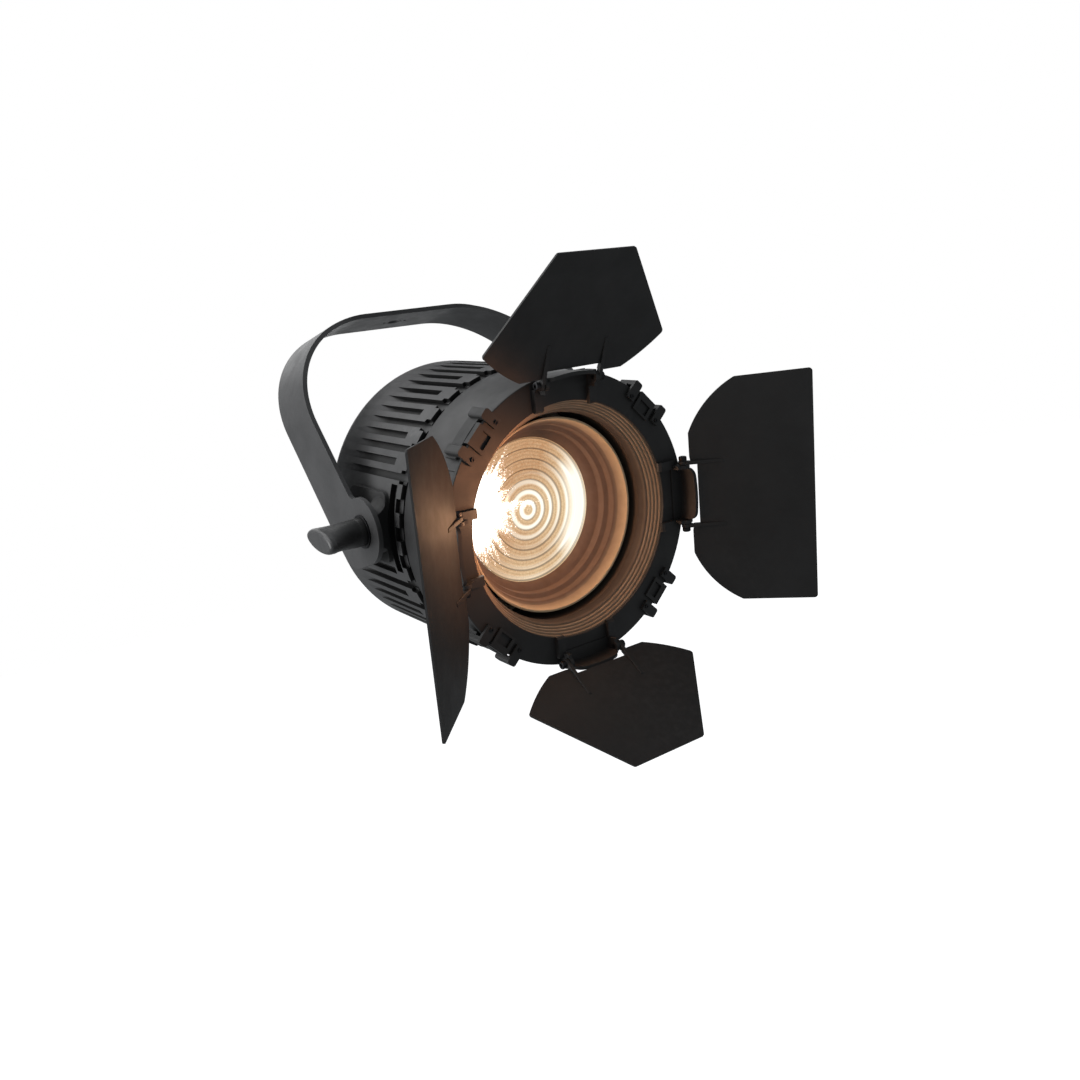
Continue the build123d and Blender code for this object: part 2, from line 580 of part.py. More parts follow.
def focus_nut():
    z0, z1 = LENS_BACK_Z - 6, LENS_BACK_Z + 4
    return HEAD * Pos(*polar(SCREW_PITCH_R, 270), 0) * sleeve(6.5, SCREW_R + 0.05, z0, z1)


# ---------------------------------------------------------------- barn door
def door_ring():
    ring = sleeve(RING_OUTER_R, RING_APERTURE_R, RING_FACE_Z - RING_THICK, RING_FACE_Z)
    return HEAD * fillet(ring.edges().group_by(Axis.Z)[-1], 0.6)


def hinge_bracket(turn):
    """Forward tab at the ring's edge with two eared fingers that reach in over the aperture."""
    z0 = RING_FACE_Z
    tab = sleeve(90.6, 88.4, z0, z0 + TAB_HEIGHT)
    tab = tab & block(80, 95, -TAB_HALF, TAB_HALF, z0, z0 + 20)
    corners = tab.edges().filter_by(lambda e: 1.8 < e.length < 2.9).sort_by(Axis.Z)[-2:]
    bracket = fillet(corners, 5.0)
    bracket += block(80, 90, -TAB_HALF, TAB_HALF, z0, z0 + 1.0)
    for s in (-1, 1):
        ear = rod(3.6, -EAR_THICK / 2, EAR_THICK / 2)
        ear += block(-5.6, 4.4, -3.6, 1.5, -EAR_THICK / 2, EAR_THICK / 2)
        ear = Pos(HINGE_R, s * (TAB_HALF + EAR_THICK / 2), HINGE_Z) * Rot(90, 0, 0) * ear
        foot = block(80, 89.4, *sorted((s * TAB_HALF, s * (TAB_HALF + EAR_THICK))), z0, HINGE_Z - 2)
        finger = block(68.8, 82.5, *sorted((s * TAB_HALF, s * (TAB_HALF + 5.6))), z0, z0 + 3.2)
        tip = finger.edges().filter_by(Axis.Y).sort_by(Axis.X)[:2].sort_by(Axis.Z)[-1]
        bracket += ear + foot + chamfer(tip, 1.3)
        bracket -= Pos(HINGE_R, s * 20, HINGE_Z) * Rot(90, 0, 0) * rod(PIN_R - 0.01, -6, 6)
    return HEAD * Rot(0, 0, turn) * bracket


def hinge_screws():
    """Two shouldered screws for each hinge, set in the bracket's ears."""
    screws = []
    inner, outer = TAB_HALF, TAB_HALF + EAR_THICK + ARM_THICK + 0.7
    for turn in LEAF_TURN.values():
        for s in (-1, 1):
            pin = rod(PIN_R - 0.01, inner, outer + 0.01) + Pos(0, 0, outer) * screw_head(2.6, 2.6, 1.2)
            aim = Pos(HINGE_R, 0, HINGE_Z) * Rot(-90 * s, 0, 0)
            screws.append(Rot(0, 0, turn) * aim * pin)
    return HEAD * group(screws)


def leaf_frame(side):
    """Leaf's own frame: origin on its hinge axis, X along it, Y out along the leaf, Z inwards."""
    at_hinge = HEAD * Rot(0, 0, LEAF_TURN[side]) * Pos(HINGE_R, 0, HINGE_Z)
    return at_hinge * Rot(0, -LEAF_ANGLES[side], 0) * Rot(0, 0, -90)


def leaf_outline(tall):
    """Right half of a leaf from the notch to the outer edge: shoulder arc, then the side."""
    notch = [(0, 9.0), (19.5, 9.0), (19.5, 5.0)]
    if tall:
        base, shoulder, bulge, outer = (37.0, 4.2), (65.0, 24.0), (51.7, 13.0), (27.0, 79.5)
    else:
        base, shoulder, bulge, outer = (39.5, 4.2), (73.3, 34.5), (59.2, 16.4), (75.0, 82.5)
    return notch, base, bulge, shoulder, outer


def leaf(side):
    tall = side in ("top", "bottom")
    notch, base, bulge, shoulder, outer = leaf_outline(tall)
    half = [Line(a, b) for a, b in zip(notch, notch[1:])]
    half += [Line(notch[-1], (24.6, 4.2)), Line((24.6, 4.2), base), ThreePointArc(base, bulge, shoulder),
             Line(shoulder, outer), Line(outer, (0, outer[1]))]
    other = [mirror(edge, Plane.YZ) for edge in half]
    plate = extrude(make_face(half + other), LEAF_THICK / 2, both=True)
    upright = plate.edges().filter_by(Axis.Z)
    far = upright.filter_by(lambda e: e.center().Y > 20)
    plate = fillet(far, 2.2)
    return leaf_frame(side) * plate


def leaf_arms(side):
    """Two tapered arms on the inner face, each with an eye round its hinge screw."""
    arms = []
    for s in (-1, 1):
        x0 = s * (TAB_HALF + EAR_THICK + 0.35)
        x1 = x0 + s * ARM_THICK
        web = make_face([
            Line((1.5, LEAF_THICK / 2), (ARM_LENGTH, LEAF_THICK / 2)),
            Line((ARM_LENGTH, LEAF_THICK / 2), (ARM_LENGTH, LEAF_THICK / 2 + 0.3)),
            ThreePointArc((ARM_LENGTH, LEAF_THICK / 2 + 0.3), (12, 2.0), (2.0, 3.0)),
            Line((2.0, 3.0), (1.5, LEAF_THICK / 2))])
        profile = web + Circle(3.0) - Circle(PIN_R + PIN_CLEARANCE)
        neck = Pos(3.1, 0) * Rectangle(2.8, LEAF_THICK)
        profile += neck - Circle(PIN_R + PIN_CLEARANCE)
        arm = extrude(profile, abs(x1 - x0))
        # The profile's X runs out along the leaf and its Y towards the inner face.
        stand = Plane(origin=(min(x0, x1), 0, 0), x_dir=(0, 1, 0), z_dir=(1, 0, 0)).location
        arms.append(stand * arm)
    return leaf_frame(side) * group(arms)


# ---------------------------------------------------------------- ring clips
def ring_clip(angle):
    """Spring clip on the barrel: a foot, two jaws over the ring's edge and a windowed tongue."""
    lip0, lip1 = RING_FACE_Z + RING_GAP, RING_FACE_Z + CLIP_PROUD
    spine_r = RING_OUTER_R + 0.6
    foot_z = RING_FACE_Z - 14
    clip = sleeve(spine_r + 1.6, spine_r, foot_z, RING_FACE_Z - RING_THICK - 1)
    clip = clip & block(80, 99, -17, 17, 60, 95)
    clip += block(88.4, spine_r + 1, -12, 12, foot_z, foot_z + 5) - barrel_solid()
    for s in (-1, 1):
        y0, y1 = sorted((s * 9.5, s * 16.0))
        jaw = block(spine_r, CLIP_OUTER_R, y0, y1, foot_z + 2, lip1)
        jaw += block(82.0, CLIP_OUTER_R, y0, y1, lip0, lip1)
        jaw -= rod(spine_r, 0, lip0)
        jaw = fillet(jaw.edges().filter_by(Axis.Z).sort_by(Axis.X)[-2:], 1.6)
        clip += jaw
    tongue = block(79.5, spine_r + 1.2, -7, 7, lip0, lip0 + 1.3)
    tongue += block(spine_r, spine_r + 1.2, -7, 7, foot_z + 2, lip0 + 1.3)
    tongue -= block(81, 87.5, -4.6, 4.6, 80, 99)
    clip += tongue - rod(spine_r, 0, lip0)
    return HEAD * Rot(0, 0, angle) * clip


def clip_screws():
    screws = []
    for angle in CLIP_ANGLES:
        for s in (-1, 1):
            head = Pos(84.0, s * 12.7, RING_FACE_Z + CLIP_PROUD) * screw_head(1.3, 0.8, 0.6)
            screws.append(Rot(0, 0, angle) * head)
    return HEAD * group(screws)


# ---------------------------------------------------------------- all nodes
def all_nodes():
    nodes = {
        "yoke": yoke(), "tilt_stud": tilt_stud(), "tilt_handle": tilt_handle(),
        "tilt_washer": tilt_washer(), "pivot_bolt": pivot_bolt(), "pivot_washer": pivot_washer(),
        "friction_disc_left": friction_disc(-1), "friction_disc_right": friction_disc(1),
        "pivot_bracket_left": pivot_bracket(-1), "pivot_bracket_right": pivot_bracket(1),
        "rear_housing": rear_housing(), "rear_cover": rear_cover(), "cover_screws": cover_screws(),
        "barrel_upper_shell": barrel_shell(True), "barrel_lower_shell": barrel_shell(False),
        "collar_ring": collar_ring(), "front_bezel": front_bezel(), "baffle_sleeve": baffle_sleeve(),
        "front_frame": front_frame(), "guide_rods": guide_rods(), "heat_sink": heat_sink(),
        "led_board": led_board(), "led_emitter": led_emitter(), "led_reflector": led_reflector(),
        "driver_board": driver_board(), "driver_parts": driver_parts(),
        "power_inlet": power_inlet(), "inlet_pins": inlet_pins(), "switch_frame": switch_frame(),
        "switch_rocker": rocker(), "dimmer_pot": dimmer_pot(), "dimmer_shaft": dimmer_shaft(),
        "dimmer_knob": dimmer_knob(), "focus_screw": focus_screw(), "focus_knob": focus_knob(),
        "lens_tube": lens_tube(), "fresnel_lens": fresnel_lens(), "lens_retainer": lens_retainer(),
        "carriage_plate": carriage_plate(), "carriage_bushes": carriage_bushes(),
        "focus_nut": focus_nut(), "door_ring": door_ring(), "hinge_screws": hinge_screws(),
        "clip_screws": clip_screws(),
    }
    for side, turn in LEAF_TURN.items():
        nodes[f"hinge_bracket_{side}"] = hinge_bracket(turn)
        nodes[f"leaf_{side}"] = leaf(side)
        nodes[f"leaf_arms_{side}"] = leaf_arms(side)
    for number, angle in enumerate(CLIP_ANGLES, 1):
        nodes[f"ring_clip_{number}"] = ring_clip(angle)
    return nodes


os.makedirs("parts", exist_ok=True)
for name, shape in all_nodes().items():
    export_step(shape, f"parts/{name}.step")
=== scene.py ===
"""Looks, stage, light and camera for the fresnel spotlight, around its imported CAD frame.

For Blender 4.5, in metres. Everything stays in the frame's own coordinates: the origin is at the
hanging hole, +Z is up and the lamp points towards -Y.
"""
import json
import math

import bmesh
import bpy
from mathutils import Matrix, Vector


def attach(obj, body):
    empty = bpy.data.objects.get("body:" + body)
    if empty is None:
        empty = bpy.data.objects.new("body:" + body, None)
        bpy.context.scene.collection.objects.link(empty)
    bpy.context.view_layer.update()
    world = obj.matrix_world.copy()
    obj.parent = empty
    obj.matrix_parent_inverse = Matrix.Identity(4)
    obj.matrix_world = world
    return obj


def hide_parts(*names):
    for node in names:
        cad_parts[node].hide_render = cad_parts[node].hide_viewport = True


MM = 0.001

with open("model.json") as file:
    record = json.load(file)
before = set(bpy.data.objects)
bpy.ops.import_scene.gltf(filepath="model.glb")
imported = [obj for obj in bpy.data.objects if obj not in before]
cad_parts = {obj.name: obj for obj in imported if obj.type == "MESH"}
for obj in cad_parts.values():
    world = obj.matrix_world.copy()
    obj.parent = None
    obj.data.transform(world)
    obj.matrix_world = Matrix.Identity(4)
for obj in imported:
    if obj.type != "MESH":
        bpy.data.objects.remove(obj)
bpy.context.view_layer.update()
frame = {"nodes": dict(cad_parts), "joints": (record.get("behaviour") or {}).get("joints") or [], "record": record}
nodes = frame["nodes"]
joints = {joint["name"]: joint for joint in frame["joints"]}

# ---------------------------------------------------------------- head frame, from the joints
# In the head's own frame x is across, y is up and z is along the beam.
RING_FACE_Z = 90 * MM           # station of the barn-door ring's face along the beam
BEAM = Vector(joints["lens_focus"]["axis"]).normalized()
ACROSS = Vector((1, 0, 0))
HEAD_UP = BEAM.cross(ACROSS).normalized()
CENTRE = Vector(joints["barndoor_turn"]["pos_m"]) - RING_FACE_Z * BEAM
HEAD = Matrix.Translation(CENTRE) @ Matrix((ACROSS, HEAD_UP, BEAM)).transposed().to_4x4()

# ---------------------------------------------------------------- node helpers
NOISE_RANGE = (0.3, 0.7)        # where most values of a noise lie
RADIUS_UNIT = 100               # mm; keeps a radius within a ramp's 0 to 1


class Shader:
    """A new material and its nodes, with short ways to add and join them."""

    def __init__(self, name):
        self.material = bpy.data.materials.new(name)
        self.material.use_nodes = True
        self.tree = self.material.node_tree
        self.bsdf = self.tree.nodes["Principled BSDF"]
        self.coords = self.add("ShaderNodeTexCoord").outputs["Object"]

    def add(self, kind, **settings):
        """Add a node; each setting is one of its properties or the value of one of its inputs."""
        node = self.tree.nodes.new(kind)
        for key, value in settings.items():
            if hasattr(node, key):
                setattr(node, key, value)
            else:
                node.inputs[key.replace("_", " ")].default_value = value
        return node

    def link(self, source, target):
        self.tree.links.new(source, target)

    def feed(self, socket, value):
        """Give a socket a number, a colour or another node's output."""
        if isinstance(value, (int, float)):
            socket.default_value = value
        elif isinstance(value, tuple):
            socket.default_value = (*value, 1)
        else:
            self.link(value, socket)

    def noise(self, scale, detail=3.0, rough=0.55, stretch=None):
        node = self.add("ShaderNodeTexNoise", Scale=scale, Detail=detail, Roughness=rough)
        place = self.coords
        if stretch:
            mapping = self.add("ShaderNodeMapping", Scale=stretch)
            self.link(place, mapping.inputs["Vector"])
            place = mapping.outputs["Vector"]
        self.link(place, node.inputs["Vector"])
        return node.outputs["Fac"]

    def ramp(self, factor, *stops):
        """Colour ramp of (position, colour) stops; a colour may be one number."""
        node = self.add("ShaderNodeValToRGB")
        elements = node.color_ramp.elements
        for i, (position, colour) in enumerate(stops):
            element = elements[i] if i < 2 else elements.new(position)
            element.position = position
            grey = isinstance(colour, (int, float))
            element.color = (colour, colour, colour, 1) if grey else (*colour, 1)
        self.link(factor, node.inputs["Fac"])
        return node.outputs["Color"]

    def spread(self, noise, low, high, start=NOISE_RANGE[0], end=NOISE_RANGE[1]):
        """Turn a noise into a range of numbers or colours."""
        return self.ramp(noise, (start, low), (end, high))

    def math(self, operation, *values, clamp=False):
        node = self.add("ShaderNodeMath", operation=operation, use_clamp=clamp)
        for socket, value in zip(node.inputs, values):
            self.feed(socket, value)
        return node.outputs[0]

    def length(self, x, y):
        squares = self.math("MULTIPLY", x, x), self.math("MULTIPLY", y, y)
        return self.math("SQRT", self.math("ADD", *squares))

    def mix(self, factor, a, b, blend="MIX"):
        node = self.add("ShaderNodeMix", data_type="RGBA", blend_type=blend)
        for name, value in (("Factor", factor), ("A", a), ("B", b)):
            self.feed(next(s for s in node.inputs if s.name == name and s.enabled), value)
        return next(s for s in node.outputs if s.name == "Result" and s.enabled)

    def multiply(self, a, b):
        """Product of two colours."""
        return self.mix(1.0, a, b, blend="MULTIPLY")

    def bump(self, height, strength, distance):
        node = self.add("ShaderNodeBump", Strength=strength, Distance=distance)
        self.link(height, node.inputs["Height"])
        self.link(node.outputs["Normal"], self.bsdf.inputs["Normal"])

    def edges(self):
        """Mask of worn outside edges; a flat face has a pointiness of 0.5."""
        point = self.add("ShaderNodeNewGeometry").outputs["Pointiness"]
        return self.ramp(point, (0.52, 0.0), (0.62, 1.0))

    def painted_slot_shade(self, reach):
        """Multiplier of painted shade that darkens slots up to about as deep as the reach, in metres."""
        node = self.add("ShaderNodeAmbientOcclusion", Distance=reach)
        return self.ramp(node.outputs["AO"], (0.55, 0.03), (0.9, 1.0))

    def beam_radius(self):
        """Distance from the beam axis, as a share of RADIUS_UNIT."""
        to_head = HEAD.inverted()
        mapping = self.add("ShaderNodeMapping", Location=to_head.translation,
                           Rotation=to_head.to_euler())
        self.link(self.coords, mapping.inputs["Vector"])
        flat = self.add("ShaderNodeVectorMath", operation="MULTIPLY")
        flat.inputs[1].default_value = (1 / (RADIUS_UNIT * MM), 1 / (RADIUS_UNIT * MM), 0)
        self.link(mapping.outputs["Vector"], flat.inputs[0])
        length = self.add("ShaderNodeVectorMath", operation="LENGTH")
        self.link(flat.outputs["Vector"], length.inputs[0])
        return length.outputs["Value"]

    def set(self, **values):
        """Set the surface's own sockets and return the finished material."""
        for key, value in values.items():
            self.feed(self.bsdf.inputs[key.replace("_", " ")], value)
        return self.material


def toned(colour, factor, lift=0.0):
    return tuple(channel * factor + lift for channel in colour)


# ---------------------------------------------------------------- materials, grain heights in mm
def coated_metal(name, colour, rough, grain=1400, grain_height=0.04, wear=0.35, slot_shade_reach=0.0):
    """Satin powder coat: orange peel, mottling, lighter worn edges and, if asked, painted shade in the slots."""
    s = Shader(name)
    base = s.spread(s.noise(38, 4), toned(colour, 0.82), toned(colour, 1.22))
    worn = s.math("MULTIPLY", s.edges(), s.spread(s.noise(260, 5), 0.0, wear, start=0.42))
    base = s.mix(worn, base, toned(colour, 2.2, 0.05))
    # Painted shade: the slots are darkened in the colour by ambient occlusion.
    if slot_shade_reach:
        base = s.multiply(base, s.painted_slot_shade(slot_shade_reach))
    s.bump(s.noise(grain, 2), 0.35, grain_height * MM)
    shine = s.spread(s.noise(90, 3), rough - 0.05, rough + 0.06)
    return s.set(Base_Color=base, Roughness=shine, Specular_IOR_Level=0.5)


def metal_with_painted_beam_light(name, rough, *stops):
    """Matt black coat round the beam with painted light from the beam: its tone is set by (radius in mm, colour)
    stops.
    """
    s = Shader(name)
    tone = s.ramp(s.beam_radius(), *((radius / RADIUS_UNIT, colour) for radius, colour in stops))
    base = s.multiply(tone, s.spread(s.noise(160, 4), 0.85, 1.0))
    s.bump(s.noise(1100, 2), 0.35, 0.04 * MM)
    shine = s.spread(s.noise(90, 3), rough - 0.05, rough + 0.06)
    return s.set(Base_Color=base, Roughness=shine)


def moulded_plastic(name, colour, rough, grain=2200, grain_height=0.05):
    """Plastic with a fine moulded grain; also fibre and small components."""
    s = Shader(name)
    base = s.spread(s.noise(60, 3), toned(colour, 0.85), toned(colour, 1.15))
    s.bump(s.noise(grain, 2), 0.4, grain_height * MM)
    shine = s.spread(s.noise(150, 3), rough - 0.06, rough + 0.08, start=0.35)
    return s.set(Base_Color=base, Roughness=shine)


def lever_plastic_painted_light(name):
    """Moulded lever: matt and darker round the hub, lighter towards its end with faint streaks, a painted
    highlight.
    """
    s = Shader(name)
    split = s.add("ShaderNodeSeparateXYZ")
    s.link(s.coords, split.inputs[0])
    # The lever points towards -X; its hub ends at x = -0.117 m, and it is lightest from -0.132.
    per_metre = 5.0
    out = s.math("MULTIPLY", split.outputs["X"], -per_metre)
    out = s.math("MULTIPLY_ADD", s.noise(120, 3), 0.04, out)
    # Painted highlight: the lever is made lighter towards its end, and faint streaks are multiplied in below.
    base = s.ramp(out, (0.117 * per_metre, (0.012, 0.012, 0.012)),
                  (0.132 * per_metre, (0.055, 0.055, 0.056)))
    highlight_streaks = s.spread(s.noise(260, 3, 0.6, stretch=(1, 1, 0.1)), 0.75, 1.0)
    s.bump(s.noise(2200, 2), 0.4, 0.05 * MM)
    shine = s.spread(s.noise(150, 3), 0.34, 0.46, start=0.35)
    return s.set(Base_Color=s.multiply(base, highlight_streaks), Roughness=shine)


def bare_metal(name, colour, rough, stretch=(1, 1, 1)):
    """Uncoated metal with fine marks; a stretch draws them out into a brushed grain."""
    s = Shader(name)
    streak = s.noise(900, 4, 0.6, stretch)
    base = s.spread(streak, toned(colour, 0.8), toned(colour, 1.1))
    shine = s.spread(streak, rough - 0.07, rough + 0.1)
    s.bump(streak, 0.2, 0.02 * MM)
    return s.set(Base_Color=base, Roughness=shine, Metallic=1.0)


def board_material(name, colour, copper):
    """Circuit board: solder mask with faint traces."""
    s = Shader(name)
    brick = s.add("ShaderNodeTexBrick", Scale=260, Mortar_Size=0.03)
    s.link(s.coords, brick.inputs["Vector"])
    base = s.mix(brick.outputs["Fac"], colour, copper)
    s.bump(brick.outputs["Fac"], 0.3, 0.03 * MM)
    return s.set(Base_Color=base, Roughness=s.spread(s.noise(300), 0.3, 0.42))


MATERIALS = {
    "strap_metal": coated_metal("strap_coat", (0.045, 0.045, 0.046), 0.46),
    # The housing's slots get painted shade from ambient occlusion.
    "housing_metal": coated_metal("housing_coat", (0.046, 0.046, 0.047), 0.5, grain=1000,
                                  grain_height=0.07, slot_shade_reach=11 * MM),
    "barrel_metal": coated_metal("barrel_coat", (0.016, 0.016, 0.0165), 0.46),
    "black_metal": coated_metal("leaf_black", (0.0125, 0.0125, 0.0127), 0.58, grain=1700,
                                wear=0.15),
    # Bezel and lens tube: their warm tones, brighter towards the mouth, are painted light from the beam.
    "bezel_metal": metal_with_painted_beam_light("bezel_black_painted_beam_light", 0.65,
                             (66.0, (0.05, 0.036, 0.027)), (67.6, (0.26, 0.195, 0.135))),
    "lens_tube_metal": metal_with_painted_beam_light("tube_black_painted_beam_light", 0.8,
                                 (48, (0.16, 0.105, 0.08)), (56.5, (0.17, 0.115, 0.085)),
                                 (58.5, (0.3, 0.225, 0.16)), (60.1, (0.55, 0.44, 0.29))),
    "screw_steel": bare_metal("screw_steel", (0.3, 0.3, 0.31), 0.36),
    "black_steel": bare_metal("black_steel", (0.035, 0.035, 0.037), 0.42),
    "rod_steel": bare_metal("rod_steel", (0.62, 0.62, 0.64), 0.22, stretch=(1, 8, 8)),
    "sink_aluminium": bare_metal("sink_aluminium", (0.7, 0.7, 0.72), 0.35, stretch=(12, 1, 1)),
    "reflector_aluminium": bare_metal("reflector", (0.85, 0.85, 0.86), 0.15),
    "bush_brass": bare_metal("bush_brass", (0.72, 0.53, 0.25), 0.28),
    "handle_plastic": lever_plastic_painted_light("handle_plastic"),
    "panel_plastic": moulded_plastic("panel_plastic", (0.02, 0.02, 0.02), 0.5),
    "switch_plastic": moulded_plastic("switch_plastic", (0.015, 0.015, 0.015), 0.25,
                                      grain_height=0.02),
    "fibre": moulded_plastic("fibre", (0.16, 0.14, 0.11), 0.75, grain=700, grain_height=0.1),
    "board": board_material("led_board", (0.8, 0.8, 0.77), (0.6, 0.45, 0.2)),
    "driver_green": board_material("driver_board", (0.02, 0.12, 0.05), (0.1, 0.25, 0.1)),
    "component_black": moulded_plastic("component_black", (0.03, 0.03, 0.035), 0.4),
    "emitter": moulded_plastic("emitter_phosphor", (0.9, 0.6, 0.12), 0.5),
}

# Nodes whose finish differs from the rest of their slot.
FINISH = {
    "barrel_upper_shell": "barrel_metal",
    "barrel_lower_shell": "barrel_metal",
    "baffle_sleeve": "bezel_metal",
    "pivot_bracket_left": "black_metal",
    "pivot_bracket_right": "black_metal",
    **{f"ring_clip_{i}": "black_metal" for i in range(1, 5)},
}

LENS_RIDGES = 6
LENS_CENTRE_SHARE = 0.14        # domed centre's share of the ridged radius
GLOW_DIM = (0.55, 0.275, 0.125)
GLOW_FULL = (1.0, 0.79, 0.48)
RIDGE_LIGHT = (1.0, 0.95, 0.82)
HOT_LIGHT = (1.0, 0.96, 0.88)


def lens_material(radius):
    """Glass lit from behind: warm stippled glow, bright crescents and a hot spot at one side."""
    s = Shader("lens_glass")
    split = s.add("ShaderNodeSeparateXYZ")
    s.link(s.coords, split.inputs[0])
    x = s.math("DIVIDE", split.outputs["X"], radius)
    y = s.math("DIVIDE", split.outputs["Y"], radius)
    r = s.length(x, y)
    speck = s.noise(1100, 2, 0.7)

    def blob(cx, cy, wide, tall, rays=0.0):
        """Soft spot, 1 at its middle and 0 outside its ellipse; rays make its edge ragged."""
        dx = s.math("DIVIDE", s.math("SUBTRACT", x, cx), wide)
        dy = s.math("DIVIDE", s.math("SUBTRACT", y, cy), tall)
        d = s.length(dx, dy)
        if rays:
            fan = s.add("ShaderNodeTexNoise", noise_dimensions="1D", Scale=4.5, Detail=4)
            s.link(s.math("ARCTAN2", dy, dx), fan.inputs["W"])
            ragged = s.math("ADD", s.math("SUBTRACT", fan.outputs["Fac"], 0.5),
                            s.math("SUBTRACT", speck, 0.5))
            d = s.math("MULTIPLY", d, s.math("MULTIPLY_ADD", ragged, rays, 1.0))
        return s.math("SUBTRACT", 1.0, d, clamp=True)

    def weighted(*terms):
        """Sum of (value, weight) terms."""
        result = 0.0
        for value, weight in terms:
            result = s.math("MULTIPLY_ADD", value, weight, result)
        return result

    def wave(angle):
        """Cosine of an angle, between 0 and 1."""
        return s.math("MULTIPLY_ADD", s.math("COSINE", angle), 0.5, 0.5)

    # Phase of the ridges: a whole turn from one groove to the next.
    per_ridge = 2 * math.pi * LENS_RIDGES / (1 - LENS_CENTRE_SHARE)
    phase = s.math("MULTIPLY", s.math("SUBTRACT", r, LENS_CENTRE_SHARE), per_ridge)
    groove = s.ramp(wave(phase), (0.9, 1.0), (1.0, 0.42))
    drift = s.math("MULTIPLY", s.noise(70, 2), 5.0)
    fine = s.ramp(wave(s.math("MULTIPLY_ADD", phase, 3.0, drift)), (0.0, 0.84), (0.6, 1.0))
    crest = s.ramp(wave(s.math("ADD", phase, 1.4)), (0.35, 0.0), (0.95, 1.0))

    right = blob(0.95, -0.12, 0.85, 1.25)
    low = blob(0.0, -1.0, 1.1, 0.75)
    middle = blob(0.05, 0.0, 0.55, 0.55)
    grain = s.ramp(speck, (0.36, 0.0), (0.64, 0.3))
    glow = s.math("ADD", weighted((right, 0.8), (low, 0.45), (middle, 0.5)), grain, clamp=True)
    warm = s.multiply(s.multiply(s.mix(glow, GLOW_DIM, GLOW_FULL), groove), fine)

    bright = weighted((right, 1.2), (middle, 1.8), (low, 0.35))
    crescent = s.math("MULTIPLY", s.ramp(r, (0.66, 0.0), (0.8, 1.0), (0.92, 1.0), (0.97, 0.2)),
                      s.ramp(blob(0.95, -0.15, 0.75, 1.0), (0.1, 0.0), (0.5, 1.0)))
    sparkle = s.math("MULTIPLY_ADD", crest, bright, crescent, clamp=True)
    lit = s.mix(sparkle, warm, RIDGE_LIGHT)
    hot = s.ramp(blob(-0.84, 0.18, 0.66, 0.82, rays=1.6), (0.15, 0.0), (0.5, 1.0))
    lit = s.mix(hot, lit, HOT_LIGHT)
    strength = s.math("MULTIPLY_ADD", hot, 3.0, 0.95)
    strength = s.math("MULTIPLY_ADD", sparkle, 0.2, strength)
    s.bump(speck, 0.25, 0.05 * MM)
    return s.set(Base_Color=(0.02, 0.018, 0.015), Roughness=0.14, Emission_Color=lit,
                 Emission_Strength=strength)


# ---------------------------------------------------------------- pieces made here
ON_AXIS = 1e-7                  # metres; a smaller radius is a point on the axis


def head_box(name):
    """Lowest and highest corner of a CAD node in the head's own frame, in metres."""
    to_head = HEAD.inverted()
    points = [to_head @ v.co for v in nodes[name].data.vertices]
    low = Vector([min(p[i] for p in points) for i in range(3)])
    high = Vector([max(p[i] for p in points) for i in range(3)])
    return low, high


def shade_smooth(mesh):
    for polygon in mesh.polygons:
        polygon.use_smooth = True


def make_piece(name, mesh, material, body, slot, *replaced, place):
    piece = bpy.data.objects.new(name, mesh)
    bpy.context.scene.collection.objects.link(piece)
    mesh.materials.append(material)
    piece.matrix_world = place
    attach(piece, body)
    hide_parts(*replaced)
    shade_smooth(mesh)


def revolved(name, outline, steps=192):
    """Closed mesh of revolution about Z from (radius, z) points.

    The outline is a loop, or it starts and ends on the axis and touches it nowhere else.
    """
    turns = [2 * math.pi * k / steps for k in range(steps)]
    verts, rings = [], []
    for radius, z in outline:
        if radius < ON_AXIS:
            rings.append([len(verts)] * steps)
            verts.append((0.0, 0.0, z))
            continue
        rings.append(list(range(len(verts), len(verts) + steps)))
        verts += [(radius * math.cos(turn), radius * math.sin(turn), z) for turn in turns]
    is_loop = outline[0][0] > ON_AXIS
    next_rings = rings[1:] + rings[:1] if is_loop else rings[1:]
    faces = []
    for ring, next_ring in zip(rings, next_rings):
        for k in range(steps):
            n = (k + 1) % steps
            face = list(dict.fromkeys((ring[k], ring[n], next_ring[n], next_ring[k])))
            if len(face) > 2:
                faces.append(face)
    mesh = bpy.data.meshes.new(name)
    mesh.from_pydata(verts, [], faces)
    bm = bmesh.new()
    bm.from_mesh(mesh)
    bmesh.ops.recalc_face_normals(bm, faces=bm.faces)
    bm.to_mesh(mesh)
    bm.free()
    return mesh


RIDGED_SHARE = 0.945            # ridged part's share of the lens radius; the rest is plain rim
LENS_RIM_DROP = 0.4 * MM        # rim below the top of the lens
LENS_RIDGE_DEPTH = 1.2 * MM
LENS_DOME_RISE = 0.3 * MM       # domed centre above the rim
LENS_RIDGE_POINTS = 10          # points on each ridge's curve
LENS_DOME_POINTS = 12
LENS_RIDGE_ROUNDING = 0.8       # power of the sine; lower is rounder


